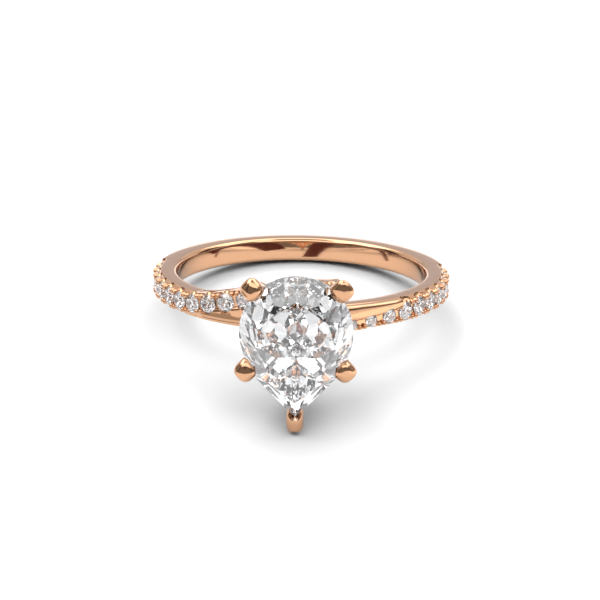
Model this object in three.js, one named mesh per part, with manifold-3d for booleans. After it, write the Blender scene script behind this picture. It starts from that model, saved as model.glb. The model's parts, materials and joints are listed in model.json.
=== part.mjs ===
// Engagement ring, in millimetres: a pear-cut diamond in five claws on a band with two pavé rows.
// Design frame: the finger axis is Z, the head points along -Y and the pear's point along -Z.
// The finished ring leans on the lower back edge of its band and on the claw at the pear's point,
// as it lies on a table, so the whole group is tilted about X and stood on Z = 0.
import * as THREE from 'three';
import { ConvexGeometry } from 'three/addons/geometries/ConvexGeometry.js';
import { mergeVertices } from 'three/addons/utils/BufferGeometryUtils.js';
import Module from 'manifold-3d';

// Band
const fingerDiameter = 16.5;
const bandWidth = 1.65;
const bandThickness = 1.45;
const innerEdgeRound = 0.3;
const outerEdgeRound = 0.2;

// Pavé rows: each keeps to the middle of the band and drifts off towards the head
const accentDiameter = 1.22;
const accentsPerSide = 14;
const lastAccentAngle = -12.05;
const accentGap = 0.134;
const rowDriftStartAngle = 55;
const rowDriftSpanAngle = 60;
const leftRowRise = 1.65;
const rightRowDrop = 0.72;
const rightRowTaper = 0.36;
const rightTaperStartAngle = 50;
const rightTaperSpanAngle = 26;
const strandEdgeWall = 0.09;
const strandSink = 0.14;
const strandDepth = 1.0;
const strandProud = 0.12;
const strandEdgeRound = 0.08;
const stripProud = 0.1;
const stripDepth = 0.9;
const beadRadius = 0.16;
const beadProud = 0.16;
const beadTipShare = 0.6;
const beadSides = 5;
const accentsBeyondStrip = 7;
const sweepStepAngle = 4;

// Accent stones, as shares of their diameter
const accentPavilionShare = 0.43;
const accentCrownShare = 0.15;
const accentTableShare = 0.58;
const accentGirdleShare = 0.05;
const accentSides = 8;

// Centre stone
const pearWidth = 6.72;
const pearLength = 8.6;
const pearSideFullness = 0.42;
const pearPointFullness = 0.4;
const pearPavilionDepth = 3.0;
const pearCrownHeight = 1.0;
const pearGirdle = 0.2;
const culetBelowMiddle = 0.8;
const stoneAboveBand = 5.1;
const headDrop = 0.17;

// Table corners on the pear's right, from the round end down, as shares of half its width and length
const tableCorners = [[0.41, 0.52], [0.7, 0.08], [0.31, -0.55]];
const tableTopShare = 0.62;

// Head: claw places are shares of half the pear's width, and its middle sits lower than the band's
const clawRadius = 0.66;
const clawFootRadius = 0.42;
const clawOverStone = 0.75;
const clawDomeShare = 0.7;
const upperClawTurn = 45;
const upperClawGrip = 0.12;
const lowerClawAcross = 0.908;
const lowerClawDown = 0.43;
const tipClawWidth = 1.05;
const tipClawDepth = 1.56;
const tipClawOut = 0.42;
const tipSlotWidth = 0.62;
const footSpread = 0.5;
const baseClearOfBand = 0.3;
const baseHeight = 0.75;
const baseOverhangShare = 0.9;
const baseWidthShare = 2.6;
const saddleSides = 48;
const railThickness = 0.45;
const railWidth = 0.6;
const upperRailBelowStone = 1.7;
const lowerRailBelowStone = 2.9;

// Clearances
const seatClearance = 0.04;
const solderClearance = 0.03;

// Edges shorter than this are merged away where surfaces cross at a shallow angle
const sliverSize = 0.002;

const fingerRadius = fingerDiameter / 2;
const bandRadius = fingerRadius + bandThickness;
const headHeight = bandRadius + stoneAboveBand;
const strandRadius = bandRadius - strandSink;
const stripRadius = bandRadius + stripProud;
const beadTipRadius = bandRadius + beadProud;
const accentRadius = accentDiameter / 2;
const accentGirdleRadius = strandRadius + seatClearance;
const strandWidth = accentDiameter + 2 * strandEdgeWall;
const baseRadius = beadTipRadius + baseClearOfBand - strandSink;
const baseTop = baseRadius + baseHeight;
const stripLeastWidth = 2.2 * outerEdgeRound;
const tiltPasses = 6;
const degrees = Math.PI / 180;
const accentPitchAngle = (accentDiameter + accentGap) / accentGirdleRadius / degrees;
const firstAccentAngle = lastAccentAngle + (accentsPerSide - 1) * accentPitchAngle;
const stripEndAngle = firstAccentAngle - accentsBeyondStrip * accentPitchAngle;

const colours = { gold: 0xd8a274, diamond: 0xf2f4f8 };

const wasm = await Module();
wasm.setup();

// ---- Booleans -------------------------------------------------------------------------------

function toSolid(geometry) {
  const bare = geometry.clone();
  bare.deleteAttribute('normal');
  bare.deleteAttribute('uv');
  const merged = mergeVertices(bare, 1e-5);
  const mesh = new wasm.Mesh({
    numProp: 3,
    vertProperties: new Float32Array(merged.attributes.position.array),
    triVerts: new Uint32Array(merged.index.array),
  });
  return new wasm.Manifold(mesh);
}

function toGeometry(solid) {
  const mesh = solid.getMesh();
  const geometry = new THREE.BufferGeometry();
  geometry.setAttribute('position', new THREE.BufferAttribute(mesh.vertProperties, 3));
  geometry.setIndex(new THREE.BufferAttribute(mesh.triVerts, 1));
  geometry.computeVertexNormals();
  return geometry;
}

// ---- Shapes ---------------------------------------------------------------------------------

// A point at a turn around the finger (0 at the head, positive to the right), radius and height
function aroundFinger(angle, radius, z) {
  const turn = angle * degrees;
  return new THREE.Vector3(radius * Math.sin(turn), -radius * Math.cos(turn), z);
}

// A band section as [radius, z] points, its inner and outer edges rounded in a number of steps
function bandSection(rIn, rOut, zLow, zHigh, inner, outer, roundSteps) {
  const corners = [
    [rIn + inner, zLow + inner, inner, 180],
    [rOut - outer, zLow + outer, outer, 270],
    [rOut - outer, zHigh - outer, outer, 0],
    [rIn + inner, zHigh - inner, inner, 90],
  ];
  const points = [];
  for (const [r, z, round, start] of corners) {
    for (let s = 0; s <= roundSteps; s++) {
      const turn = (start + (90 * s) / roundSteps) * degrees;
      points.push([r + round * Math.cos(turn), z + round * Math.sin(turn)]);
    }
  }
  return points;
}

// A closed solid through a row of sections with equal numbers of points; a loop joins its last to its first
function loft(sections, isLoop) {
  const count = sections[0].length;
  const total = sections.length * count;
  const last = total - count;
  const index = [];
  for (let start = 0; start < (isLoop ? total : last); start += count) {
    const next = (start + count) % total;
    for (let i = 0; i < count; i++) {
      const j = (i + 1) % count;
      index.push(start + i, next + j, start + j, start + i, next + i, next + j);
    }
  }
  if (!isLoop) {
    for (let i = 1; i < count - 1; i++) {
      index.push(0, i, i + 1);
      index.push(last, last + i + 1, last + i);
    }
  }
  const geometry = new THREE.BufferGeometry().setFromPoints(sections.flat());
  geometry.setIndex(index);
  return geometry;
}

// A stretch of band between two angles, its section worked out at each angle; 360 degrees make a loop
function bandStretch(fromAngle, toAngle, sectionAt) {
  const isLoop = toAngle - fromAngle === 360;
  const steps = Math.ceil((toAngle - fromAngle) / sweepStepAngle);
  const sections = [];
  for (let s = 0; s < (isLoop ? steps : steps + 1); s++) {
    const angle = fromAngle + ((toAngle - fromAngle) * s) / steps;
    sections.push(sectionAt(angle).map(([r, z]) => aroundFinger(angle, r, z)));
  }
  return loft(sections, isLoop);
}

// How far a row has drifted from the middle of the band; side is -1 for the left row, 1 for the right
function rowOffset(angle, side) {
  const share = (rowDriftStartAngle - side * angle) / rowDriftSpanAngle;
  const eased = THREE.MathUtils.smoothstep(share, 0, 1);
  return side < 0 ? leftRowRise * eased : -rightRowDrop * eased;
}

// The right row narrows towards the head: the share of the full accent size at a turn round the finger
function rowShare(angle, side) {
  const share = (rightTaperStartAngle - angle) / rightTaperSpanAngle;
  return side < 0 ? 1 : 1 - rightRowTaper * THREE.MathUtils.smoothstep(share, 0, 1);
}

// The pear's outline in X and Z, round end up, grown by an offset
function pearShape(grow) {
  const half = pearWidth / 2 + grow;
  const tip = -pearLength / 2 - grow;
  const middle = pearLength / 2 + grow - half;
  const shape = new THREE.Shape();
  shape.moveTo(half, middle);
  shape.absarc(0, middle, half, 0, Math.PI, false);
  const side = middle - pearSideFullness * (middle - tip);
  const point = pearPointFullness * half;
  shape.bezierCurveTo(-half, side, -point, tip + point, 0, tip);
  shape.bezierCurveTo(point, tip + point, half, side, half, middle);
  return shape;
}

function pearRing(outerGrow, innerGrow, topHeight, thickness) {
  const shape = pearShape(outerGrow);
  shape.holes.push(pearShape(innerGrow));
  const geometry = new THREE.ExtrudeGeometry(shape, {
    depth: thickness,
    bevelEnabled: false,
    curveSegments: 9,
  });
  geometry.rotateX(Math.PI / 2);
  geometry.translate(0, thickness - topHeight, 0);
  return geometry;
}

// ---- Stones ---------------------------------------------------------------------------------

// Faceted pear brilliant on the girdle plane at headHeight, grown all round by a clearance
function pearStone(grow) {
  const front = -headHeight - pearGirdle / 2 - pearCrownHeight - grow;
  const back = -headHeight + pearGirdle / 2 + pearPavilionDepth + grow;
  const points = [new THREE.Vector3(0, front, (tableTopShare * pearLength) / 2)];
  for (const [x, z] of tableCorners) {
    for (const side of [-1, 1]) {
      points.push(new THREE.Vector3((side * x * pearWidth) / 2, front, (z * pearLength) / 2));
    }
  }
  for (const outline of pearShape(grow).getPoints(8)) {
    for (const face of [-1, 1]) {
      points.push(new THREE.Vector3(outline.x, -headHeight + (face * pearGirdle) / 2, outline.y));
    }
  }
  points.push(new THREE.Vector3(0, back, -culetBelowMiddle));
  return new ConvexGeometry(points);
}

// Turned round stone with its girdle at the origin and its table facing +Y
function accentGeometry(diameter) {
  const girdle = (accentGirdleShare * diameter) / 2;
  const profile = [
    new THREE.Vector2(0, -accentPavilionShare * diameter),
    new THREE.Vector2(diameter / 2, -girdle),
    new THREE.Vector2(diameter / 2, girdle),
    new THREE.Vector2((accentTableShare * diameter) / 2, accentCrownShare * diameter),
    new THREE.Vector2(0, accentCrownShare * diameter),
  ];
  return new THREE.LatheGeometry(profile, accentSides);
}

function accentSeatGeometry(diameter) {
  const wall = diameter / 2 + seatClearance;
  const point = accentPavilionShare * diameter + seatClearance * 2;
  const profile = [
    new THREE.Vector2(0, -point),
    new THREE.Vector2(wall, -accentGirdleShare * diameter),
    new THREE.Vector2(wall, diameter),
    new THREE.Vector2(0, diameter),
  ];
  return new THREE.LatheGeometry(profile, accentSides);
}

// Turns something that stands along +Y so that it stands outwards at a place on the band
function standOnBand(geometry, angle, radius, z) {
  const placed = geometry.clone();
  placed.rotateZ(Math.PI + angle * degrees);
  const place = aroundFinger(angle, radius, z);
  placed.translate(place.x, place.y, place.z);
  return placed;
}

function accentAngle(number, side) {
  return side * (firstAccentAngle - number * accentPitchAngle);
}

// ---- Band -----------------------------------------------------------------------------------

// The whole band: full thickness behind the rows, and thinner where a row's strand lies on it
function plainBand() {
  const half = bandWidth / 2;
  const rowStart = firstAccentAngle + accentPitchAngle;
  return toSolid(bandStretch(-180, 180, (angle) => {
    const outer = Math.abs(angle) < rowStart ? strandRadius - strandProud : bandRadius;
    return bandSection(fingerRadius, outer, -half, half, innerEdgeRound, outerEdgeRound, 2);
  }));
}

function paveStrand(side) {
  const rIn = strandRadius - strandDepth;
  const start = side * (firstAccentAngle + accentPitchAngle);
  const end = accentAngle(accentsPerSide - 0.5, side);
  return toSolid(bandStretch(Math.min(start, end), Math.max(start, end), (angle) => {
    const z = rowOffset(angle, side);
    const half = (strandWidth / 2) * rowShare(angle, side);
    return bandSection(rIn, strandRadius, z - half, z + half, strandEdgeRound, strandEdgeRound, 1);
  }));
}

// The plain strip between the rows: it runs under the left row, through the head and over the right row,
// and ends beside the middle of a stone
function plainStrip() {
  const half = bandWidth / 2 - solderClearance;
  const least = stripLeastWidth;
  return toSolid(bandStretch(-stripEndAngle, stripEndAngle, (angle) => {
    const lap = (side) => (strandWidth / 4) * rowShare(angle, side);
    const high = Math.max(Math.min(half, rowOffset(angle, -1) - lap(-1)), least - half);
    const low = Math.min(Math.max(-half, rowOffset(angle, 1) + lap(1)), half - least);
    return bandSection(stripRadius - stripDepth, stripRadius, low, high, outerEdgeRound, outerEdgeRound, 1);
  }));
}

function bead(angle, z) {
  const height = beadTipRadius - strandRadius + strandSink;
  const post = new THREE.CylinderGeometry(beadRadius * beadTipShare, beadRadius, height, beadSides);
  return toSolid(standOnBand(post, angle, beadTipRadius - height / 2, z));
}

// Beads stand on both edges of a row, but the edge beside the plain strip goes without them near the head
function hasBead(angle, side, edge) {
  return edge === side ? Math.abs(angle) > stripEndAngle : true;
}

function shank() {
  let solid = plainBand().add(paveStrand(-1)).add(paveStrand(1)).add(plainStrip());
  const beadInset = beadRadius + beadProud / 2;
  for (const side of [-1, 1]) {
    for (let i = 0; i < accentsPerSide; i++) {
      const angle = accentAngle(i, side);
      const seat = accentSeatGeometry(accentDiameter * rowShare(angle, side));
      const placed = standOnBand(seat, angle, accentGirdleRadius, rowOffset(angle, side));
      solid = solid.subtract(toSolid(placed));
    }
    for (let i = 0; i <= accentsPerSide; i++) {
      const angle = accentAngle(i - 0.5, side);
      const reach = (strandWidth / 2) * rowShare(angle, side) - beadInset;
      for (const edge of [-1, 1]) {
        if (hasBead(angle, side, edge)) {
          solid = solid.add(bead(angle, rowOffset(angle, side) + edge * reach));
        }
      }
    }
  }
  return solid.simplify(sliverSize);
}

// ---- Head -----------------------------------------------------------------------------------

// Where the four round claws and the claw at the point stand around the pear, in X and Z
function clawPlaces() {
  const half = pearWidth / 2;
  const middle = pearLength / 2 - half;
  const reach = half + clawRadius - upperClawGrip;
  const turn = upperClawTurn * degrees;
  const upper = [reach * Math.sin(turn), middle + reach * Math.cos(turn)];
  const lower = [lowerClawAcross * half, -lowerClawDown * half];
  return {
    claw_upper_left: [-upper[0], upper[1]],
    claw_upper_right: upper,
    claw_lower_left: [-lower[0], lower[1]],
    claw_lower_right: lower,
  };
}

// A tapered round claw with a domed end, from its foot on the base to over the stone's edge
function roundClaw([x, z]) {
  const foot = new THREE.Vector3(x * footSpread, clawFootRadius - baseTop, z * footSpread);
  const end = new THREE.Vector3(x, -headHeight - clawOverStone, z);
  const length = foot.distanceTo(end);
  const profile = [new THREE.Vector2(0, 0), new THREE.Vector2(clawFootRadius, 0)];
  for (const turn of [0, 30, 60]) {
    const dome = new THREE.Vector2(Math.cos(turn * degrees), Math.sin(turn * degrees) - 1);
    profile.push(new THREE.Vector2(clawRadius * dome.x, length + clawDomeShare * clawRadius * dome.y));
  }
  profile.push(new THREE.Vector2(0, length));
  const claw = new THREE.LatheGeometry(profile, 12);
  const along = end.clone().sub(foot).normalize();
  claw.applyQuaternion(new THREE.Quaternion().setFromUnitVectors(new THREE.Vector3(0, 1, 0), along));
  claw.translate(foot.x, foot.y, foot.z);
  return toSolid(claw);
}

// The claw at the point is a square post, slotted so that its two cheeks hold the pear's tip
function tipClaw() {
  const tip = -pearLength / 2;
  const length = headHeight + clawOverStone - baseTop - solderClearance;
  const footZ = tip * footSpread;
  const lean = Math.atan2(-(tip - footZ), length);
  const post = new THREE.BoxGeometry(tipClawWidth, length / Math.cos(lean), tipClawDepth);
  post.rotateX(lean);
  post.translate(0, -(baseTop + solderClearance + length / 2), (tip + footZ) / 2 - tipClawOut);
  const slot = new THREE.BoxGeometry(tipSlotWidth, 2 * clawOverStone, tipClawDepth);
  slot.translate(0, -headHeight - clawOverStone, tip + tipClawDepth / 2);
  return toSolid(post).subtract(toSolid(slot));
}

// Everything from the finger axis up to just over the base, where no claw reaches
function footRoom() {
  const room = new THREE.BoxGeometry(2 * pearLength, baseTop, 2 * pearLength);
  room.translate(0, -baseTop / 2 - solderClearance, 0);
  return toSolid(room);
}

// Rails run inside the claws and rest in notches cut in them, each notch larger by the clearance
function rail(belowStone, clearance) {
  const top = headHeight - belowStone;
  const share = (headHeight - top) / (headHeight - baseTop);
  const scale = 1 - share * (1 - footSpread);
  const outer = (scale - 1) * (pearWidth / 2) + clearance;
  const inner = outer - railWidth - 2 * clearance;
  return toSolid(pearRing(outer, inner, top + clearance, railThickness + 2 * clearance));
}

function headBase() {
  const outer = (footSpread - 1) * (pearWidth / 2) + baseOverhangShare * clawFootRadius;
  const inner = outer - baseWidthShare * clawFootRadius;
  const collar = toSolid(pearRing(outer, inner, baseTop, baseTop - baseRadius / 2));
  const saddle = new THREE.CylinderGeometry(baseRadius, baseRadius, 2 * pearLength, saddleSides);
  saddle.rotateX(Math.PI / 2);
  return collar.subtract(toSolid(saddle));
}

// ---- Assembly -------------------------------------------------------------------------------

const ring = new THREE.Group();

function addPiece(name, geometry, colour, roughness, metalness) {
  const material = new THREE.MeshStandardMaterial({ color: colour, roughness, metalness });
  const mesh = new THREE.Mesh(geometry, material);
  mesh.name = name;
  ring.add(mesh);
}

function addGold(name, solid) {
  addPiece(name, toGeometry(solid), colours.gold, 0.12, 1);
}

function addStone(name, geometry) {
  addPiece(name, geometry, colours.diamond, 0.02, 0);
}

function addHead() {
  const stoneRoom = toSolid(pearStone(seatClearance));
  const railRoom = rail(upperRailBelowStone, solderClearance).add(rail(lowerRailBelowStone, solderClearance));
  const taken = stoneRoom.add(railRoom).add(footRoom());
  const gold = { claw_tip: tipClaw().subtract(taken) };
  for (const [name, place] of Object.entries(clawPlaces())) {
    gold[name] = roundClaw(place).subtract(taken);
  }
  gold.gallery_rail = rail(upperRailBelowStone, 0);
  gold.lower_gallery_rail = rail(lowerRailBelowStone, 0);
  gold.head_base = headBase();
  for (const [name, solid] of Object.entries(gold)) {
    addGold(name, solid.translate([0, 0, -headDrop]));
  }
  addStone('center_diamond', pearStone(0).translate(0, 0, -headDrop));
}

function addAccents() {
  for (const [sideName, side] of [['left', -1], ['right', 1]]) {
    for (let i = 0; i < accentsPerSide; i++) {
      const angle = accentAngle(i, side);
      const number = String(i + 1).padStart(2, '0');
      const stone = accentGeometry(accentDiameter * rowShare(angle, side));
      const placed = standOnBand(stone, angle, accentGirdleRadius, rowOffset(angle, side));
      addStone(`accent_${sideName}_${number}`, placed);
    }
  }
}

// The tilt at which the lowest points behind and in front of the finger axis are level
function restTilt(group) {
  let tilt = 0;
  for (let pass = 0; pass < tiltPasses; pass++) {
    const lowest = { front: [0, Infinity], back: [0, Infinity] };
    for (const mesh of group.children) {
      const position = mesh.geometry.attributes.position;
      for (let i = 0; i < position.count; i++) {
        const y = position.getY(i);
        const z = position.getZ(i);
        const side = y < 0 ? 'front' : 'back';
        const height = y * Math.sin(tilt) + z * Math.cos(tilt);
        if (height < lowest[side][1]) {
          lowest[side] = [y, height, z];
        }
      }
    }
    const { front, back } = lowest;
    tilt = -Math.atan2(back[2] - front[2], back[0] - front[0]);
  }
  return tilt;
}

addHead();
addAccents();
addGold('shank', shank());
ring.rotation.x = restTilt(ring);
ring.updateMatrixWorld(true);
const box = new THREE.Box3().setFromObject(ring, true);
ring.position.set(-(box.min.x + box.max.x) / 2, -(box.min.y + box.max.y) / 2, -box.min.z);

const model = new THREE.Group();
model.add(ring);
export default model;
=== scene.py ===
"""Engagement ring: a pear-cut diamond in five claws on a rose gold band with two rows of pavé stones.

Meshes are built in the ring's own frame, in millimetres: the finger axis is Z, the head points along -Y
and the pear's point along -Z. Each is then leaned and moved to where the CAD frame has it, in metres.
"""
import json
import math

import bmesh
import bpy
from mathutils import Matrix, Quaternion, Vector


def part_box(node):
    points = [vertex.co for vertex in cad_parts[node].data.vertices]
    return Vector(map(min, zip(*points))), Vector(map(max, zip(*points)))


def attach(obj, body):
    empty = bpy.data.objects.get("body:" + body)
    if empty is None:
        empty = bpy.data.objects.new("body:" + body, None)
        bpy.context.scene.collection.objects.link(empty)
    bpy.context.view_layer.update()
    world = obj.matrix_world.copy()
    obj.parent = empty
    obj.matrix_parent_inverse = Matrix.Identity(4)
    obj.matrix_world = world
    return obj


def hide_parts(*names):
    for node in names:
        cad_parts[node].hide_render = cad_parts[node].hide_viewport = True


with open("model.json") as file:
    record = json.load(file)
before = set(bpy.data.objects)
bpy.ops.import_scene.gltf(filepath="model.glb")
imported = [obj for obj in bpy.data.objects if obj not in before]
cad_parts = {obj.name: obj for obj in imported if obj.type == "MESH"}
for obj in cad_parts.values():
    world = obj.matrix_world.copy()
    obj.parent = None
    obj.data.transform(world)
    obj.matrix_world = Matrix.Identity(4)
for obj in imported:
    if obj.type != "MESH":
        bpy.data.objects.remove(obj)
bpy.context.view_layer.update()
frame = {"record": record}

MM = 0.001

# Band, as in the CAD part
FINGER_RADIUS = 8.25
BAND_WIDTH = 1.65
BAND_THICKNESS = 1.45
BAND_RADIUS = FINGER_RADIUS + BAND_THICKNESS
INNER_EDGE_ROUND = 0.3
OUTER_EDGE_ROUND = 0.2

# Pavé rows, as in the CAD part
ACCENT_DIAMETER = 1.22
ACCENTS_PER_SIDE = 14
LAST_ACCENT_ANGLE = -12.05
ACCENT_GAP = 0.134
ROW_DRIFT_START_ANGLE = 55
ROW_DRIFT_SPAN_ANGLE = 60
LEFT_ROW_RISE = 1.65
RIGHT_ROW_DROP = 0.72
RIGHT_ROW_TAPER = 0.36
RIGHT_TAPER_START_ANGLE = 50
RIGHT_TAPER_SPAN_ANGLE = 26
CLEAN_STRIP_ANGLE = 39
ACCENTS_BEYOND_STRIP = 5
STRAND_EDGE_WALL = 0.09
STRAND_RADIUS = BAND_RADIUS - 0.14
STRAND_DEPTH = 1.0
STRAND_PROUD = 0.12
STRAND_EDGE_ROUND = 0.08
STRIP_RADIUS = BAND_RADIUS + 0.1
STRIP_DEPTH = 0.9
STRIP_INSET = 0.03
STRIP_FROM_ROW = 0.35
STRIP_LEAST_WIDTH = 2.2 * OUTER_EDGE_ROUND
SWEEP_STEP_ANGLE = 1
EDGE_ROUND_STEPS = 5
SHARP_ANGLE = 35

# Seats and beads
SEAT_CLEARANCE = 0.02
SEAT_DEEPER = 0.08
SEAT_LEDGE_SHARE = 0.05
SEAT_SIDES = 40
BEAD_RADIUS = 0.15
BEAD_HEIGHT = 0.45
BEAD_STEP_ANGLE = 15
BEAD_SIDES = 18
BEAD_TIP_RADIUS = BAND_RADIUS + 0.16
BEAD_SPREAD_ANGLE = 1.05
BEAD_INSET = 0.21
SCALLOP_RADIUS = 0.42
SCALLOP_OUT = 0.22
SCALLOP_ABOVE_ROW = 0.08
SCALLOP_STEP_ANGLE = 12
SCALLOP_SIDES = 28
ACCENT_GIRDLE_RADIUS = STRAND_RADIUS + 0.04
ACCENT_PITCH_ANGLE = math.degrees((ACCENT_DIAMETER + ACCENT_GAP) / ACCENT_GIRDLE_RADIUS)
FIRST_ACCENT_ANGLE = LAST_ACCENT_ANGLE + (ACCENTS_PER_SIDE - 1) * ACCENT_PITCH_ANGLE
STRAND_WIDTH = ACCENT_DIAMETER + 2 * STRAND_EDGE_WALL

# Cut of the accent stones: shares of the diameter, and how much steeper the half facets are, in degrees
ROUND_SIDES = 48
ROUND_MAINS = 8
ROUND_TABLE_SHARE = 0.57
ROUND_CROWN_SHARE = 0.15
ROUND_PAVILION_SHARE = 0.43
ROUND_GIRDLE_SHARE = 0.03
ROUND_UPPER_STEEPER = 5
ROUND_LOWER_STEEPER = 1.5

# Centre stone
PEAR_WIDTH = 6.72
PEAR_LENGTH = 8.6
PEAR_SIDE_FULLNESS = 0.42
PEAR_POINT_FULLNESS = 0.4
PEAR_PAVILION_DEPTH = 3.0
PEAR_CROWN_HEIGHT = 1.0
PEAR_GIRDLE = 0.14
CULET_BELOW_MIDDLE = 0.8
PEAR_OUTLINE_STEPS = 24
PEAR_MAINS = 13
PEAR_UPPER_STEEPER = 6
PEAR_LOWER_STEEPER = 2.5
TABLE_WIDTH_SHARE = 0.7
# The table's corners on one side, as shares of its half width and of the stone's half length
TABLE_CORNERS = ((0.44, -0.55), (1.0, 0.04), (0.8, 0.4), (0.27, 0.61))
HALF_FACET_SHARE = 0.27
INNER_TIER_SHARE = 0.5
INNER_TIER_FLATTER = 5
STAR_TILT_SHARE = 0.66
HEAD_HEIGHT = BAND_RADIUS + 5.1
HEAD_DROP = 0.17
STONE_ROOM_SCALE = 1.004

# Head
CLAW_RADIUS = 0.66
CLAW_FOOT_RADIUS = 0.42
CLAW_OVER_STONE = 0.75
CLAW_IN_BASE = 0.2
CLAW_DOME = 0.5
CLAW_SQUARENESS = 2.7
UPPER_CLAW_TURN = 45
UPPER_CLAW_GRIP = 0.12
LOWER_CLAW_ACROSS = 0.908
LOWER_CLAW_DOWN = 0.43
TIP_CLAW_WIDTH = 1.05
TIP_CLAW_DEPTH = 1.56
TIP_CLAW_OUT = 0.42
TIP_CLAW_DOME = 0.6
TIP_CLAW_SQUARENESS = 3.2
TIP_SLOT_WIDTH = 0.62
TIP_SLOT_BELOW_GIRDLE = 0.1
TIP_SLOT_REACH = 3
TIP_SLOT_DOME = 0.2
TIP_SLOT_SQUARENESS = 6
POST_STEPS = 8
DOME_STEPS = 12
DOME_FALL = 0.8
SECTION_POINTS = 40
FOOT_SPREAD = 0.5
BASE_RADIUS = BEAD_TIP_RADIUS + 0.16
BASE_TOP = BASE_RADIUS + 0.75
BASE_OVERHANG = 0.9 * CLAW_FOOT_RADIUS
BASE_WIDTH = 2.6 * CLAW_FOOT_RADIUS
BASE_BEVEL = 0.06
SADDLE_REACH = 9
SADDLE_SIDES = 180
RAIL_THICKNESS = 0.45
RAIL_WIDTH = 0.6
RAIL_BEVEL = 0.1
UPPER_RAIL_BELOW_STONE = 1.7
LOWER_RAIL_BELOW_STONE = 2.9

# Materials: noise scales are per metre
GOLD_TINTS = ((0.71, 0.405, 0.24, 1), (0.67, 0.37, 0.212, 1))
GOLD_DRIFT_SCALE = 180
GOLD_HAZE_SCALE = 900
GOLD_ROUGHNESS = (0.035, 0.11)
HAIRLINE_STRETCH = (6000, 700, 9000)
HAIRLINE_DETAIL = 2
HAIRLINE_STRENGTH = 0.03
HAIRLINE_DEPTH = 0.00002
DIAMOND_TINTS = ((0.865, 0.87, 0.885, 1), (0.82, 0.83, 0.85, 1))
DIAMOND_CLOUD_SCALE = 400
DIAMOND_IOR = 2.42

# Studio floor and world, in metres
FLOOR_SIZE = 2
FLOOR_WHITE = (0.93, 0.93, 0.93, 1)
FLOOR_ROUGHNESS = (0.55, 0.65)
FLOOR_MOTTLE_SCALE = 3
FLOOR_SPECULAR = 0.2
FRONT_LIGHT = 0.24
BACK_LIGHT = 0.88
FADE_FROM = -0.5
FADE_TO = 0.7

# Softboxes: name, azimuth, elevation, size and watts. Azimuth 0 is in front, positive to the right.
SOFTBOX_DISTANCE = 0.5
SOFTBOXES = (
    ("front_softbox", 0, 62, (0.75, 0.3), 1.2),
    ("key_softbox", -112, 58, (0.4, 0.28), 0.95),
    ("fill_softbox", 112, 55, (0.3, 0.35), 0.6),
    ("back_softbox", 180, 45, (0.5, 0.2), 0.75),
)

# Black flags: name, azimuth, elevation, distance and size
FLAGS = (
    ("camera_flag", 0, 32, 0.35, (0.08, 0.06)),
    ("front_left_flag", -48, 25, 0.35, (0.03, 0.2)),
    ("front_right_flag", 42, 22, 0.35, (0.03, 0.2)),
    ("left_flag", -100, 20, 0.4, (0.12, 0.25)),
    ("right_flag", 110, 20, 0.4, (0.12, 0.25)),
)
FLAG_BLACK = (0.01, 0.01, 0.01, 1)
FLAG_ROUGHNESS = 0.9

# Cards by the ring: name, place and size in millimetres, lift, turn, roll and glow.
# These are painted reflections. Each card glows though it is no lamp, and only reflections show it.
# The two maroon slivers inside the finger hole paint dark wedge reflections on the band's inner back.
# The cream card on the floor paints a bright highlight on the right strip, and the gray one a dimmer
# reflection on the left strip.
# The pale card standing behind paints the reflection on the band's top face.
CARD_LIFT = 0.02
PAINTED_DARK_REFLECTION_MAROON = (0.09, 0.014, 0.016, 1)
PAINTED_HIGHLIGHT_CREAM = (1.8, 1.75, 1.7, 1)
PAINTED_REFLECTION_GRAY = (0.45, 0.44, 0.42, 1)
PAINTED_REFLECTION_PALE = (0.62, 0.64, 0.68, 1)
CARDS = (
    ("right_inner_card", (0.28, 8.6, 1.2), (0.42, 2.8), 90, -24, -8, PAINTED_DARK_REFLECTION_MAROON),
    ("left_inner_card", (-1.2, 8.8, 2.0), (0.75, 2.2), 90, 43, 20, PAINTED_DARK_REFLECTION_MAROON),
    ("right_card", (28, -18, CARD_LIFT), (26, 34), 0, 0, 0, PAINTED_HIGHLIGHT_CREAM),
    ("back_card", (0, 300, 25), (500, 90), 90, 0, 0, PAINTED_REFLECTION_PALE),
    ("left_card", (-26, -12, CARD_LIFT), (26, 14), 0, 0, 0, PAINTED_REFLECTION_GRAY),
)

# Light paths
MAX_BOUNCES = 24
GLOSSY_BOUNCES = 12

# Camera, against the ring's own frame
CAMERA_OVER_RING = 14.9
CAMERA_YAW = 1.0
CAMERA_ROLL = 0.71
CAMERA_DISTANCE = 120
AIM_BELOW_CENTER = 1.35
AIM_LEFT_OF_CENTER = 0.06
LENS = 107.9
SENSOR_WIDTH = 36
CLIP_START = 0.005


# ---- Placing --------------------------------------------------------------------------------

def ring_placement():
    """From the ring's own frame in millimetres to the CAD frame in metres.

    The lean is that of the band's flat side, and the band's back edge gives the place.
    """
    mounts = {mount["name"]: mount for mount in frame["record"]["mounts"]}
    side = mounts["upper_side_face"]["axis"]
    lean = math.atan2(side[1], side[2])
    low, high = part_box("shank")
    reach = BAND_RADIUS - OUTER_EDGE_ROUND
    half = BAND_WIDTH / 2 - OUTER_EDGE_ROUND
    back = high[1] - MM * (reach * math.cos(lean) + half * math.sin(lean) + OUTER_EDGE_ROUND)
    height = low[2] + MM * (reach * math.sin(lean) + half * math.cos(lean) + OUTER_EDGE_ROUND)
    return Matrix.Translation((0, back, height)) @ Matrix.Rotation(-lean, 4, "X") @ Matrix.Scale(MM, 4)


TO_ROW = ring_placement()
HEAD_PLACE = Matrix.Translation((0, 0, -HEAD_DROP))
STONE_PLACE = Matrix.Translation((0, -HEAD_HEIGHT, 0)) @ Matrix.Rotation(math.pi / 2, 4, "X")


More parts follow.
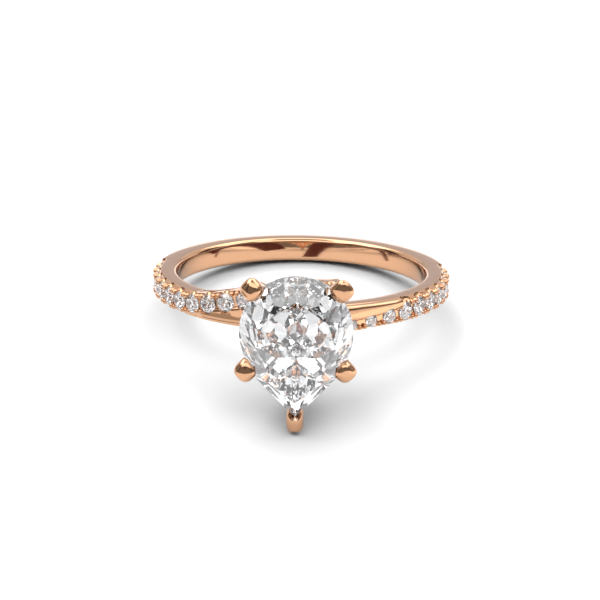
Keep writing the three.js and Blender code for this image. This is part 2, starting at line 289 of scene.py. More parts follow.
def piece_from(bm, name, material, *nodes):
    """Makes a mesh piece that rides on the ring and stands for CAD nodes."""
    bmesh.ops.recalc_face_normals(bm, faces=bm.faces)
    mesh = bpy.data.meshes.new(name)
    bm.to_mesh(mesh)
    bm.free()
    mesh.transform(TO_ROW)
    mesh.materials.append(material)
    piece = bpy.data.objects.new(name, mesh)
    bpy.context.scene.collection.objects.link(piece)
    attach(piece, "root")
    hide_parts(*nodes)
    return piece


# ---- Mesh tools -----------------------------------------------------------------------------

def around_finger(angle, radius, z):
    turn = math.radians(angle)
    return Vector((radius * math.sin(turn), -radius * math.cos(turn), z))


def band_section(r_in, r_out, z_low, z_high, inner, outer):
    """A band section as (radius, z) points with rounded edges."""
    corners = (
        (r_in + inner, z_low + inner, inner, 180),
        (r_out - outer, z_low + outer, outer, 270),
        (r_out - outer, z_high - outer, outer, 0),
        (r_in + inner, z_high - inner, inner, 90),
    )
    points = []
    for r, z, round_radius, start in corners:
        for s in range(EDGE_ROUND_STEPS + 1):
            turn = math.radians(start + 90 * s / EDGE_ROUND_STEPS)
            points.append((r + round_radius * math.cos(turn), z + round_radius * math.sin(turn)))
    return points


def loft(sections, is_loop=False):
    """A closed mesh through a row of sections with equal numbers of points."""
    bm = bmesh.new()
    rings = [[bm.verts.new(point) for point in section] for section in sections]
    count = len(rings[0])
    pairs = list(zip(rings, rings[1:]))
    if is_loop:
        pairs.append((rings[-1], rings[0]))
    for ring, following in pairs:
        for i in range(count):
            j = (i + 1) % count
            bm.faces.new((ring[i], ring[j], following[j], following[i]))
    if not is_loop:
        bm.faces.new(rings[0])
        bm.faces.new(rings[-1])
    bmesh.ops.recalc_face_normals(bm, faces=bm.faces)
    return bm


def band_stretch(from_angle, to_angle, section_at):
    is_loop = to_angle - from_angle == 360
    steps = math.ceil((to_angle - from_angle) / SWEEP_STEP_ANGLE)
    sections = []
    for s in range(steps if is_loop else steps + 1):
        angle = from_angle + (to_angle - from_angle) * s / steps
        sections.append([around_finger(angle, r, z) for r, z in section_at(angle)])
    return loft(sections, is_loop)


def turned(profile, sides):
    """A solid turned about +Y from (radius, height) points that start and end on the axis."""
    bm = bmesh.new()
    rings = []
    for radius, height in profile[1:-1]:
        turns = [2 * math.pi * i / sides for i in range(sides)]
        points = [(radius * math.cos(t), height, radius * math.sin(t)) for t in turns]
        rings.append([bm.verts.new(point) for point in points])
    first = bm.verts.new((0, profile[0][1], 0))
    last = bm.verts.new((0, profile[-1][1], 0))
    for i in range(sides):
        j = (i + 1) % sides
        bm.faces.new((first, rings[0][j], rings[0][i]))
        bm.faces.new((last, rings[-1][i], rings[-1][j]))
        for ring, following in zip(rings, rings[1:]):
            bm.faces.new((ring[i], ring[j], following[j], following[i]))
    bmesh.ops.recalc_face_normals(bm, faces=bm.faces)
    return bm


def stand_on_band(angle, radius, z):
    """Stands something that points along +Y outwards at a place on the band."""
    place = Matrix.Translation(around_finger(angle, radius, z))
    return place @ Matrix.Rotation(math.pi + math.radians(angle), 4, "Z")


def gather(parts):
    """Joins placed copies, each a (mesh, matrix) pair, into one mesh of separate shells."""
    whole = bmesh.new()
    for bm, matrix in parts:
        copy = bpy.data.meshes.new("copy")
        bm.to_mesh(copy)
        copy.transform(matrix)
        whole.from_mesh(copy)
        bpy.data.meshes.remove(copy)
    return whole


def combine(bm, other, operation):
    """A boolean of two closed meshes, by Blender's manifold solver."""
    objects = []
    for source in (bm, other):
        mesh = bpy.data.meshes.new("operand")
        source.to_mesh(mesh)
        operand = bpy.data.objects.new("operand", mesh)
        bpy.context.scene.collection.objects.link(operand)
        objects.append(operand)
    modifier = objects[0].modifiers.new("boolean", "BOOLEAN")
    modifier.solver = "MANIFOLD"
    modifier.operation = operation
    modifier.object = objects[1]
    bpy.context.view_layer.update()
    result = bmesh.new()
    result.from_object(objects[0], bpy.context.evaluated_depsgraph_get())
    for operand in objects:
        mesh = operand.data
        bpy.data.objects.remove(operand)
        bpy.data.meshes.remove(mesh)
    return result


def shade_metal(piece):
    """Smooth shading with crisp edges, weighted so that flat faces stay flat."""
    for polygon in piece.data.polygons:
        polygon.use_smooth = True
    piece.data.set_sharp_from_angle(angle=math.radians(SHARP_ANGLE))
    weighted = piece.modifiers.new("weighted_normals", "WEIGHTED_NORMAL")
    weighted.keep_sharp = True


# ---- Outlines -------------------------------------------------------------------------------

def bezier(points, share):
    while len(points) > 1:
        points = [a.lerp(b, share) for a, b in zip(points, points[1:])]
    return points[0]


def pear_outline(grow):
    """The pear's outline as (x, z) vectors, round end up, grown by an offset."""
    steps = PEAR_OUTLINE_STEPS
    half = PEAR_WIDTH / 2 + grow
    tip = -PEAR_LENGTH / 2 - grow
    middle = PEAR_LENGTH / 2 + grow - half
    side = middle - PEAR_SIDE_FULLNESS * (middle - tip)
    point = PEAR_POINT_FULLNESS * half
    wing = [Vector((-half, middle)), Vector((-half, side)), Vector((-point, tip + point)), Vector((0, tip))]
    points = []
    for i in range(2 * steps):
        turn = math.pi * i / (2 * steps)
        points.append(Vector((half * math.cos(turn), middle + half * math.sin(turn))))
    left = [bezier(wing, i / steps) for i in range(steps + 1)]
    right = [Vector((-point.x, point.y)) for point in reversed(left[1:-1])]
    return points + left + right


def pear_ring(outer_grow, inner_grow, top_height, thickness, bevel):
    """A flat pear-shaped ring with softened edges, its top face at a height from the finger axis."""
    levels = (0, bevel, thickness - bevel, thickness)
    insets = (bevel, 0, 0, bevel)
    outers = [pear_outline(outer_grow - inset) for inset in insets]
    inners = [pear_outline(inner_grow + inset) for inset in insets]
    loops = [(outline, level) for outline, level in zip(outers, levels)]
    loops += [(outline, level) for outline, level in zip(reversed(inners), reversed(levels))]
    sections = []
    for i in range(len(loops[0][0])):
        sections.append([Vector((o[i].x, level - top_height, o[i].y)) for o, level in loops])
    return loft(sections, is_loop=True)


# ---- Stones ---------------------------------------------------------------------------------

def cut_away(bm, point, normal):
    """Grinds one flat facet: everything on the outer side of a plane goes."""
    everything = bm.verts[:] + bm.edges[:] + bm.faces[:]
    result = bmesh.ops.bisect_plane(
        bm, geom=everything, plane_co=point, plane_no=normal, clear_outer=True, dist=1e-6
    )
    rim = [item for item in result["geom_cut"] if isinstance(item, bmesh.types.BMEdge)]
    bmesh.ops.holes_fill(bm, edges=rim)


def facet_plane(outline, level, turn, tilt, up):
    """A facet through the girdle's edge: it faces a turn in the girdle plane and tilts up or down."""
    side = Vector((math.cos(turn), math.sin(turn)))
    edge = max(outline, key=lambda point: point.dot(side))
    point = Vector((edge.x, edge.y, level))
    normal = Vector((side.x * math.sin(tilt), side.y * math.sin(tilt), up * math.cos(tilt)))
    return point, normal


def reach(outline, turn):
    side = Vector((math.cos(turn), math.sin(turn)))
    return max(point.dot(side) for point in outline)


def blank(outline, low, high):
    """An uncut column over the outline."""
    bm = bmesh.new()
    rings = [[bm.verts.new((p.x, p.y, level)) for p in outline] for level in (low, high)]
    for ring in rings:
        bm.faces.new(ring)
    for i in range(len(outline)):
        j = (i + 1) % len(outline)
        bm.faces.new((rings[0][i], rings[0][j], rings[1][j], rings[1][i]))
    return bm


def cut_crown(bm, outline, girdle, height, table, steeper):
    """Mains under the table's corners, two upper halves beside each and a star along each table edge."""
    count = len(table)
    turns = [math.atan2(corner.y, corner.x) for corner in table]
    for i in range(count):
        corner, following = table[i], table[(i + 1) % count]
        gap = (turns[(i + 1) % count] - turns[i]) % (2 * math.pi)
        for share, extra in ((0, 0), (HALF_FACET_SHARE, steeper), (1 - HALF_FACET_SHARE, steeper)):
            turn = turns[i] + gap * share
            side = Vector((math.cos(turn), math.sin(turn)))
            run = reach(outline, turn) - corner.lerp(following, share).dot(side)
            tilt = math.atan2(height, run) + math.radians(extra)
            cut_away(bm, *facet_plane(outline, girdle / 2, turn, tilt, 1))
        edge = (following - corner).normalized()
        outward = Vector((edge.y, -edge.x))
        run = reach(outline, math.atan2(outward.y, outward.x)) - corner.dot(outward)
        tilt = STAR_TILT_SHARE * math.atan2(height, run)
        normal = Vector((outward.x * math.sin(tilt), outward.y * math.sin(tilt), math.cos(tilt)))
        cut_away(bm, Vector((corner.x, corner.y, height + girdle / 2)), normal)


def cut_pavilion(bm, outline, girdle, depth, culet, mains, steeper):
    """Mains that meet at the culet, with two lower halves between neighbours."""
    for i in range(mains):
        for share, extra in ((0, 0), (HALF_FACET_SHARE, steeper), (1 - HALF_FACET_SHARE, steeper)):
            turn = 2 * math.pi * (i + share) / mains + math.pi / 2
            side = Vector((math.cos(turn), math.sin(turn)))
            run = reach(outline, turn) - culet.dot(side)
            tilt = math.atan2(depth, run) + math.radians(extra)
            cut_away(bm, *facet_plane(outline, -girdle / 2, turn, tilt, -1))
        turn = 2 * math.pi * (i + 0.5) / mains + math.pi / 2
        tilt = math.atan2(depth, reach(outline, turn) - culet.dot(Vector((math.cos(turn), math.sin(turn)))))
        rim, normal = facet_plane(outline, -girdle / 2, turn, tilt - math.radians(INNER_TIER_FLATTER), -1)
        bottom = Vector((culet.x, culet.y, -girdle / 2 - depth))
        cut_away(bm, rim.lerp(bottom, INNER_TIER_SHARE), normal)


def brilliant(outline, girdle, crown, table, pavilion, culet, mains):
    """Cuts a brilliant on the girdle plane Z = 0, its table facing +Z.

    crown and pavilion each give a height and how much steeper the half facets are, in degrees.
    """
    bm = blank(outline, -pavilion[0] - girdle - 1, crown[0] + girdle / 2)
    cut_crown(bm, outline, girdle, crown[0], table, crown[1])
    cut_pavilion(bm, outline, girdle, pavilion[0], culet, mains, pavilion[1])
    bmesh.ops.remove_doubles(bm, verts=bm.verts, dist=1e-4)
    bmesh.ops.recalc_face_normals(bm, faces=bm.faces)
    return bm


def corners_around(radius, count):
    turns = [2 * math.pi * i / count for i in range(count)]
    return [radius * Vector((math.cos(turn), math.sin(turn))) for turn in turns]


def round_brilliant(diameter):
    radius = diameter / 2
    outline = corners_around(radius, ROUND_SIDES)
    table = corners_around(ROUND_TABLE_SHARE * radius, ROUND_MAINS)
    crown = (ROUND_CROWN_SHARE * diameter, ROUND_UPPER_STEEPER)
    pavilion = (ROUND_PAVILION_SHARE * diameter, ROUND_LOWER_STEEPER)
    girdle = ROUND_GIRDLE_SHARE * diameter
    return brilliant(outline, girdle, crown, table, pavilion, Vector((0, 0)), ROUND_MAINS)


def pear_brilliant():
    half = TABLE_WIDTH_SHARE * PEAR_WIDTH / 2
    long_half = PEAR_LENGTH / 2
    right = [Vector((across * half, along * long_half)) for across, along in TABLE_CORNERS]
    left = [Vector((-corner.x, corner.y)) for corner in reversed(right)]
    culet = Vector((0, -CULET_BELOW_MIDDLE))
    crown = (PEAR_CROWN_HEIGHT, PEAR_UPPER_STEEPER)
    pavilion = (PEAR_PAVILION_DEPTH, PEAR_LOWER_STEEPER)
    return brilliant(pear_outline(0), PEAR_GIRDLE, crown, right + left, pavilion, culet, PEAR_MAINS)


# ---- Materials ------------------------------------------------------------------------------

def new_material(name):
    material = bpy.data.materials.new(name)
    material.use_nodes = True
    nodes = material.node_tree.nodes
    return material, nodes, material.node_tree.links, nodes["Principled BSDF"]


def noise(nodes, links, coordinates, scale, detail=4):
    texture = nodes.new("ShaderNodeTexNoise")
    texture.inputs["Scale"].default_value = scale
    texture.inputs["Detail"].default_value = detail
    links.new(coordinates, texture.inputs["Vector"])
    return texture


def ramp(nodes, links, value, low, high):
    """A value from 0 to 1 mapped to a range."""
    mapping = nodes.new("ShaderNodeMapRange")
    mapping.inputs["To Min"].default_value = low
    mapping.inputs["To Max"].default_value = high
    links.new(value, mapping.inputs["Value"])
    return mapping.outputs["Result"]


def drifting_tint(nodes, links, value, tints, shader):
    """Base colour that wanders between two tints."""
    tint = nodes.new("ShaderNodeMix")
    tint.data_type = "RGBA"
    tint.inputs["A"].default_value = tints[0]
    tint.inputs["B"].default_value = tints[1]
    links.new(value, tint.inputs["Factor"])
    links.new(tint.outputs["Result"], shader.inputs["Base Color"])


def rose_gold():
    """Polished rose gold with faint colour drift, polishing haze and hairline scratches."""
    material, nodes, links, shader = new_material("rose_gold")
    place = nodes.new("ShaderNodeTexCoord").outputs["Object"]
    drift = noise(nodes, links, place, GOLD_DRIFT_SCALE)
    drifting_tint(nodes, links, drift.outputs["Fac"], GOLD_TINTS, shader)
    haze = noise(nodes, links, place, GOLD_HAZE_SCALE)
    links.new(ramp(nodes, links, haze.outputs["Fac"], *GOLD_ROUGHNESS), shader.inputs["Roughness"])
    stretch = nodes.new("ShaderNodeMapping")
    stretch.inputs["Scale"].default_value = HAIRLINE_STRETCH
    links.new(place, stretch.inputs["Vector"])
    hairlines = noise(nodes, links, stretch.outputs["Vector"], 1, HAIRLINE_DETAIL)
    bump = nodes.new("ShaderNodeBump")
    bump.inputs["Strength"].default_value = HAIRLINE_STRENGTH
    bump.inputs["Distance"].default_value = HAIRLINE_DEPTH
    links.new(hairlines.outputs["Fac"], bump.inputs["Height"])
    links.new(bump.outputs["Normal"], shader.inputs["Normal"])
    shader.inputs["Metallic"].default_value = 1
    return material


def diamond():
    """Clear diamond with the faintest body tint drifting through it."""
    material, nodes, links, shader = new_material("diamond")
    place = nodes.new("ShaderNodeTexCoord").outputs["Object"]
    cloud = noise(nodes, links, place, DIAMOND_CLOUD_SCALE)
    drifting_tint(nodes, links, cloud.outputs["Fac"], DIAMOND_TINTS, shader)
    shader.inputs["Transmission Weight"].default_value = 1
    shader.inputs["Roughness"].default_value = 0
    shader.inputs["IOR"].default_value = DIAMOND_IOR
    return material


GOLD = rose_gold()
DIAMOND = diamond()


# ---- Band -----------------------------------------------------------------------------------

def smooth(share):
    """A share held between 0 and 1, with a soft start and end."""
    share = min(max(share, 0), 1)
    return share * share * (3 - 2 * share)


def row_offset(angle, side):
    """How far a row has drifted from the band's middle; side is -1 for the left row, 1 for the right."""
    eased = smooth((ROW_DRIFT_START_ANGLE - side * angle) / ROW_DRIFT_SPAN_ANGLE)
    return LEFT_ROW_RISE * eased if side < 0 else -RIGHT_ROW_DROP * eased


def row_share(angle, side):
    """The right row narrows towards the head: the share of the full stone size at an angle."""
    if side < 0:
        return 1
    return 1 - RIGHT_ROW_TAPER * smooth((RIGHT_TAPER_START_ANGLE - angle) / RIGHT_TAPER_SPAN_ANGLE)


def accent_angle(number, side):
    return side * (FIRST_ACCENT_ANGLE - number * ACCENT_PITCH_ANGLE)


def plain_band():
    half = BAND_WIDTH / 2
    row_start = FIRST_ACCENT_ANGLE + ACCENT_PITCH_ANGLE

    def section(angle):
        outer = STRAND_RADIUS - STRAND_PROUD if abs(angle) < row_start else BAND_RADIUS
        return band_section(FINGER_RADIUS, outer, -half, half, INNER_EDGE_ROUND, OUTER_EDGE_ROUND)

    return band_stretch(-180, 180, section)


def pave_strand(side):
    start = side * (FIRST_ACCENT_ANGLE + ACCENT_PITCH_ANGLE)
    end = accent_angle(ACCENTS_PER_SIDE - 0.5, side)

    def section(angle):
        z = row_offset(angle, side)
        half = STRAND_WIDTH / 2 * row_share(angle, side)
        inner = STRAND_RADIUS - STRAND_DEPTH
        return band_section(inner, STRAND_RADIUS, z - half, z + half, STRAND_EDGE_ROUND, STRAND_EDGE_ROUND)

    return band_stretch(min(start, end), max(start, end), section)


def plain_strip():
    """The polished strip between the rows, which sinks under the right row."""
    half = BAND_WIDTH / 2 - STRIP_INSET
    end = accent_angle(ACCENTS_BEYOND_STRIP - 0.5, 1)

    def section(angle):
        sunk = smooth((abs(angle) - CLEAN_STRIP_ANGLE) / (end - CLEAN_STRIP_ANGLE))
        r_out = STRIP_RADIUS + (STRAND_RADIUS - 2 * STRAND_PROUD - STRIP_RADIUS) * sunk
        high = max(min(half, row_offset(angle, -1) - STRIP_FROM_ROW), STRIP_LEAST_WIDTH - half)
        lap = STRIP_FROM_ROW * row_share(angle, 1)
        low = min(max(-half, row_offset(angle, 1) + lap), half - STRIP_LEAST_WIDTH)
        return band_section(r_out - STRIP_DEPTH, r_out, low, high, OUTER_EDGE_ROUND, OUTER_EDGE_ROUND)

    return band_stretch(-end, end, section)


def seat_tool(diameter):
    """The drill for one seat: a cone for the pavilion under a straight wall."""
    wall = diameter / 2 + SEAT_CLEARANCE
    profile = [
        (0, -ROUND_PAVILION_SHARE * diameter - SEAT_DEEPER),
        (wall, -SEAT_LEDGE_SHARE * diameter),
        (wall, ACCENT_DIAMETER),
        (0, ACCENT_DIAMETER),
    ]
    return turned(profile, SEAT_SIDES)


def bead_tool():
    """One round-topped bead, its tip at the origin."""
    profile = [(0, -BEAD_HEIGHT), (BEAD_RADIUS, -BEAD_HEIGHT)]
    for turn in range(0, 90, BEAD_STEP_ANGLE):
        angle = math.radians(turn)
        profile.append((BEAD_RADIUS * math.cos(angle), BEAD_RADIUS * (math.sin(angle) - 1)))
    profile.append((0, 0))
    return turned(profile, BEAD_SIDES)


def scallop_tool():
    """A scoop that opens the strand's edge beside a stone."""
    profile = []
    for turn in range(-90, 91, SCALLOP_STEP_ANGLE):
        angle = math.radians(turn)
        profile.append((SCALLOP_RADIUS * math.cos(angle), SCALLOP_RADIUS * math.sin(angle)))
    profile[0] = (0, -SCALLOP_RADIUS)
    profile[-1] = (0, SCALLOP_RADIUS)
    return turned(profile, SCALLOP_SIDES)


def open_edges(angle, side):
    """The row's edges that carry beads and scallops: near the head the plain strip covers one of them."""
    return (-1, 1) if abs(angle) > CLEAN_STRIP_ANGLE else (-side,)


def seats_and_scallops(side):
    """Placed cutters for one row's stones."""
    seats = []
    scallops = []
    scallop = scallop_tool()
    for i in range(ACCENTS_PER_SIDE):
        angle = accent_angle(i, side)
        z = row_offset(angle, side)
        share = row_share(angle, side)
        seat = seat_tool(ACCENT_DIAMETER * share)
        seats.append((seat, stand_on_band(angle, ACCENT_GIRDLE_RADIUS, z)))
        out = STRAND_WIDTH / 2 * share + SCALLOP_OUT
        for edge_side in open_edges(angle, side):
            place = stand_on_band(angle, STRAND_RADIUS + SCALLOP_ABOVE_ROW, z + edge_side * out)
            scallops.append((scallop, place))
    return seats, scallops


def beads(side):
    """Placed beads, in pairs between one row's stones."""
    bead = bead_tool()
    placed = []
    for i in range(ACCENTS_PER_SIDE + 1):
        for spread in (-BEAD_SPREAD_ANGLE, BEAD_SPREAD_ANGLE):
            angle = accent_angle(i - 0.5, side) + spread
            z = row_offset(angle, side)
            edge = STRAND_WIDTH / 2 * row_share(angle, side) - BEAD_INSET
            for edge_side in open_edges(angle, side):
                placed.append((bead, stand_on_band(angle, BEAD_TIP_RADIUS, z + edge_side * edge)))
    return placed


def shank():
    band = plain_band()
    for part in (pave_strand(-1), pave_strand(1), plain_strip()):
        band = combine(band, part, "UNION")
    left_seats, left_scallops = seats_and_scallops(-1)
    right_seats, right_scallops = seats_and_scallops(1)
    band = combine(band, gather(left_seats + right_seats), "DIFFERENCE")
    band = combine(band, gather(left_scallops + right_scallops), "DIFFERENCE")
    band = combine(band, gather(beads(-1) + beads(1)), "UNION")
    piece = piece_from(band, "shank_casting", GOLD, "shank")
    shade_metal(piece)


# ---- Head -----------------------------------------------------------------------------------

def claw_places():
    """Where the four round claws stand around the pear, as (x, z)."""
    half = PEAR_WIDTH / 2
    middle = PEAR_LENGTH / 2 - half
    out = half + CLAW_RADIUS - UPPER_CLAW_GRIP
    turn = math.radians(UPPER_CLAW_TURN)
    upper = (out * math.sin(turn), middle + out * math.cos(turn))
    lower = (LOWER_CLAW_ACROSS * half, -LOWER_CLAW_DOWN * half)
    return {
        "claw_upper_left": (-upper[0], upper[1]),
        "claw_upper_right": upper,
        "claw_lower_left": (-lower[0], lower[1]),
        "claw_lower_right": lower,
    }


def pillow_section(center, across, along, half_width, half_depth, power):
    """A rounded square in the plane of two axes; a power of 2 is round, and more is squarer."""
    points = []
    for i in range(SECTION_POINTS):
        turn = 2 * math.pi * i / SECTION_POINTS
        cosine, sine = math.cos(turn), math.sin(turn)
        x = math.copysign(abs(cosine) ** (2 / power), cosine)
        z = math.copysign(abs(sine) ** (2 / power), sine)
        points.append(center + across * (half_width * x) + along * (half_depth * z))
    return points


def post(foot, end, across, foot_size, end_size, dome, power):
    """A tapered post from foot to end with a domed tip; sizes are (half width, half depth)."""
    axis = (end - foot).normalized()
    along = axis.cross(across).normalized()
    length = (end - foot).length
    sections = []
    for s in range(POST_STEPS + 1):
        share = s / POST_STEPS * (1 - dome / length)
        width = foot_size[0] + (end_size[0] - foot_size[0]) * share
        depth = foot_size[1] + (end_size[1] - foot_size[1]) * share
        sections.append(pillow_section(foot + axis * (share * length), across, along, width, depth, power))
    for s in range(1, DOME_STEPS):
        turn = math.radians(90 * s / DOME_STEPS)
        shrink = math.cos(turn) ** DOME_FALL
        center = end - axis * (dome * (1 - math.sin(turn)))
        sections.append(pillow_section(center, across, along, width * shrink, depth * shrink, power))
    return loft(sections)


def stone_room():
    """The centre stone grown by a hair."""
    return gather([(pear_brilliant(), STONE_PLACE @ Matrix.Scale(STONE_ROOM_SCALE, 4))])


def head_piece(bm, name, node):
    bmesh.ops.transform(bm, matrix=HEAD_PLACE, verts=bm.verts)
    shade_metal(piece_from(bm, name, GOLD, node))


def round_claws(room):
    for name, (x, z) in claw_places().items():
        foot = Vector((x * FOOT_SPREAD, -BASE_TOP + CLAW_IN_BASE, z * FOOT_SPREAD))
        end = Vector((x, -HEAD_HEIGHT - CLAW_OVER_STONE, z))
        across = Vector((1, 0, 1)).normalized()
        sizes = ((CLAW_FOOT_RADIUS,) * 2, (CLAW_RADIUS,) * 2)
        claw = post(foot, end, across, *sizes, CLAW_DOME, CLAW_SQUARENESS)
        claw = combine(claw, room, "DIFFERENCE")
        head_piece(claw, name + "_gold", name)


def tip_claw(room):
    tip = -PEAR_LENGTH / 2
    foot = Vector((0, -BASE_TOP + CLAW_IN_BASE, tip * FOOT_SPREAD - TIP_CLAW_OUT))
    end = Vector((0, -HEAD_HEIGHT - CLAW_OVER_STONE, tip - TIP_CLAW_OUT))
    size = (TIP_CLAW_WIDTH / 2, TIP_CLAW_DEPTH / 2)
    across = Vector((1, 0, 0))
    claw = post(foot, end, across, size, size, TIP_CLAW_DOME, TIP_CLAW_SQUARENESS)
    slot_foot = Vector((0, -HEAD_HEIGHT + TIP_SLOT_BELOW_GIRDLE, tip + TIP_CLAW_DEPTH / 2))
    slot_end = Vector((0, -HEAD_HEIGHT - TIP_SLOT_REACH, tip + TIP_CLAW_DEPTH / 2))
    slot_size = (TIP_SLOT_WIDTH / 2, TIP_CLAW_DEPTH / 2)
    slot = post(slot_foot, slot_end, across, slot_size, slot_size, TIP_SLOT_DOME, TIP_SLOT_SQUARENESS)
    claw = combine(claw, slot, "DIFFERENCE")
    claw = combine(claw, room, "DIFFERENCE")
    head_piece(claw, "claw_tip_gold", "claw_tip")


def rails():
    for name, below in (
        ("gallery_rail", UPPER_RAIL_BELOW_STONE),
        ("lower_gallery_rail", LOWER_RAIL_BELOW_STONE),
    ):
        share = below / (HEAD_HEIGHT - BASE_TOP)
        outer = -share * (1 - FOOT_SPREAD) * PEAR_WIDTH / 2
        ring = pear_ring(outer, outer - RAIL_WIDTH, HEAD_HEIGHT - below, RAIL_THICKNESS, RAIL_BEVEL)
        head_piece(ring, name + "_gold", name)


def head_base():
    """The collar that the claws stand in, hollowed underneath to sit round the band."""
    outer = (FOOT_SPREAD - 1) * PEAR_WIDTH / 2 + BASE_OVERHANG
    collar = pear_ring(outer, outer - BASE_WIDTH, BASE_TOP, BASE_TOP - BASE_RADIUS / 2, BASE_BEVEL)
    low, high = -SADDLE_REACH, SADDLE_REACH
    profile = [(0, low), (BASE_RADIUS, low), (BASE_RADIUS, high), (0, high)]
    saddle = gather([(turned(profile, SADDLE_SIDES), Matrix.Rotation(math.pi / 2, 4, "X"))])
    collar = combine(collar, saddle, "DIFFERENCE")
    head_piece(collar, "head_base_gold", "head_base")


def stones():
    pear = gather([(pear_brilliant(), HEAD_PLACE @ STONE_PLACE)])
    piece_from(pear, "pear_diamond", DIAMOND, "center_diamond")
    face_out = Matrix.Rotation(-math.pi / 2, 4, "X")
    for side_name, side in (("left", -1), ("right", 1)):
        for i in range(ACCENTS_PER_SIDE):
            angle = accent_angle(i, side)
            accent = round_brilliant(ACCENT_DIAMETER * row_share(angle, side))
            place = stand_on_band(angle, ACCENT_GIRDLE_RADIUS, row_offset(angle, side)) @ face_out
            number = f"{side_name}_{i + 1:02d}"
            piece_from(gather([(accent, place)]), "diamond_" + number, DIAMOND, "accent_" + number)


# ---- Studio ---------------------------------------------------------------------------------

def studio_floor():
    bpy.ops.mesh.primitive_plane_add(size=FLOOR_SIZE, location=(0, 0, 0))
    floor = bpy.context.object
    floor.name = "studio_floor"
    material, nodes, links, shader = new_material("studio_white")
    place = nodes.new("ShaderNodeTexCoord").outputs["Object"]
    mottle = noise(nodes, links, place, FLOOR_MOTTLE_SCALE)
    links.new(ramp(nodes, links, mottle.outputs["Fac"], *FLOOR_ROUGHNESS), shader.inputs["Roughness"])
    shader.inputs["Base Color"].default_value = FLOOR_WHITE
    shader.inputs["Specular IOR Level"].default_value = FLOOR_SPECULAR
    floor.data.materials.append(material)


def direction(azimuth, elevation):
    """From the ring towards a place in the studio."""
    turn, lift = math.radians(azimuth), math.radians(elevation)
    return Vector((math.sin(turn) * math.cos(lift), -math.cos(turn) * math.cos(lift), math.sin(lift)))


def softbox(name, azimuth, elevation, size, power):
    """An area light that faces the ring."""
    light = bpy.data.lights.new(name, "AREA")
    light.shape = "RECTANGLE"
    light.size, light.size_y = size
    light.energy = power
    lamp = bpy.data.objects.new(name, light)
    way = direction(azimuth, elevation)
    lamp.location = TO_ROW.translation + way * SOFTBOX_DISTANCE
    lamp.rotation_euler = way.to_track_quat("Z", "Y").to_euler()
    lamp.visible_camera = False
    bpy.context.scene.collection.objects.link(lamp)


def sheet(name, place):
    """A flat sheet that only reflections and refractions show, and its shader."""
    bpy.ops.mesh.primitive_plane_add(size=1, location=place)
    plane = bpy.context.object
    plane.name = name
    plane.visible_camera = False
    plane.visible_shadow = False
    plane.visible_diffuse = False
    material, _, _, shader = new_material(name + "_paint")
    shader.inputs["Base Color"].default_value = FLAG_BLACK
    plane.data.materials.append(material)
    return plane, shader


def flag(name, azimuth, elevation, distance, size):
    """A black flag that the metal and the facets reflect."""
    way = direction(azimuth, elevation)
    plane, shader = sheet(name, TO_ROW.translation + way * distance)
    plane.rotation_euler = way.to_track_quat("Z", "Y").to_euler()
    plane.scale = (size[0], size[1], 1)
    shader.inputs["Roughness"].default_value = FLAG_ROUGHNESS


def card(name, place, size, lift, turn, roll, glow):
    """An emissive card that glows though it is no lamp and that only reflections show: a painted dark or
    bright reflection on the metal; lift 90 stands it up.
    """
    plane, shader = sheet(name, [value * MM for value in place])
    plane.rotation_mode = "QUATERNION"
    upright = Quaternion((0, 0, 1), math.radians(turn)) @ Quaternion((1, 0, 0), math.radians(lift))
    plane.rotation_quaternion = upright @ Quaternion((0, 0, 1), math.radians(roll))
    plane.scale = (size[0] * MM, size[1] * MM, 1)
    plane.visible_transmission = False
    # The emission paints the reflection: the card glows though it is no lamp.
    shader.inputs["Emission Color"].default_value = glow
    shader.inputs["Emission Strength"].default_value = 1


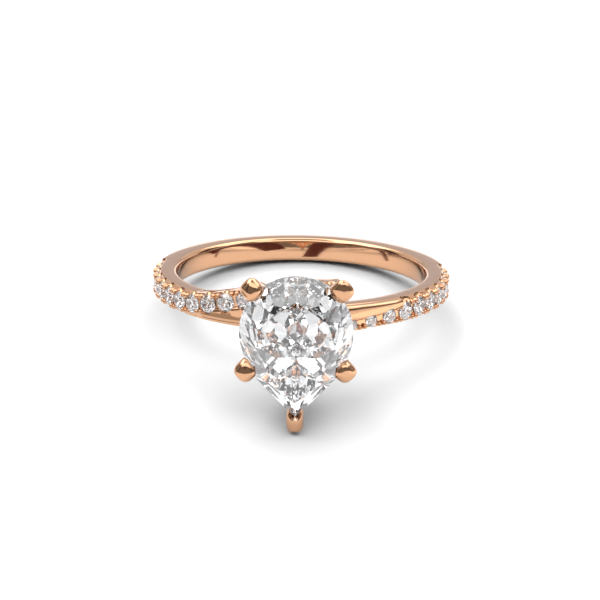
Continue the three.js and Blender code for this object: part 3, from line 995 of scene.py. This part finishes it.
def studio_world():
    """Bright behind the ring and dim on the camera's side, as with a white backdrop in a dark room."""
    world = bpy.data.worlds.new("studio")
    world.use_nodes = True
    nodes, links = world.node_tree.nodes, world.node_tree.links
    split = nodes.new("ShaderNodeSeparateXYZ")
    links.new(nodes.new("ShaderNodeTexCoord").outputs["Generated"], split.inputs["Vector"])
    fade = nodes.new("ShaderNodeMapRange")
    fade.interpolation_type = "SMOOTHSTEP"
    fade.inputs["From Min"].default_value = FADE_FROM
    fade.inputs["From Max"].default_value = FADE_TO
    fade.inputs["To Min"].default_value = FRONT_LIGHT
    fade.inputs["To Max"].default_value = BACK_LIGHT
    links.new(split.outputs["Y"], fade.inputs["Value"])
    links.new(fade.outputs["Result"], nodes["Background"].inputs["Strength"])
    nodes["Background"].inputs["Color"].default_value = (1, 1, 1, 1)
    bpy.context.scene.world = world


def camera():
    """Stands in front of and above the ring, looks just below its centre and is rolled a little."""
    lean = math.atan2(-TO_ROW[2][1], TO_ROW[1][1])
    lift = math.radians(CAMERA_OVER_RING) + lean
    yaw = math.radians(CAMERA_YAW)
    center = TO_ROW.translation
    way = Vector((math.sin(yaw) * math.cos(lift), -math.cos(yaw) * math.cos(lift), math.sin(lift)))
    upwards = way.cross(Vector((math.cos(yaw), math.sin(yaw), 0)))
    place = center + way * (CAMERA_DISTANCE * MM)
    aim = center - upwards * (AIM_BELOW_CENTER * MM) - Vector((AIM_LEFT_OF_CENTER * MM, 0, 0))
    turn = (place - aim).to_track_quat("Z", "Y") @ Quaternion((0, 0, 1), math.radians(CAMERA_ROLL))
    data = bpy.data.cameras.new("camera")
    data.sensor_width = SENSOR_WIDTH
    data.lens = LENS
    data.clip_start = CLIP_START
    eye = bpy.data.objects.new("camera", data)
    eye.matrix_world = Matrix.Translation(place) @ turn.to_matrix().to_4x4()
    bpy.context.scene.collection.objects.link(eye)
    bpy.context.scene.camera = eye


def studio():
    studio_floor()
    studio_world()
    for values in SOFTBOXES:
        softbox(*values)
    for values in FLAGS:
        flag(*values)
    # The cards paint reflections, bright and dark, onto the metal.
    for values in CARDS:
        card(*values)
    scene = bpy.context.scene
    scene.view_settings.view_transform = "Standard"
    scene.cycles.max_bounces = MAX_BOUNCES
    scene.cycles.transmission_bounces = MAX_BOUNCES
    scene.cycles.glossy_bounces = GLOSSY_BOUNCES
    scene.cycles.caustics_reflective = False
    scene.cycles.caustics_refractive = False
    scene.cycles.use_denoising = True


shank()
room = stone_room()
round_claws(room)
tip_claw(room)
rails()
head_base()
stones()
camera()
studio()
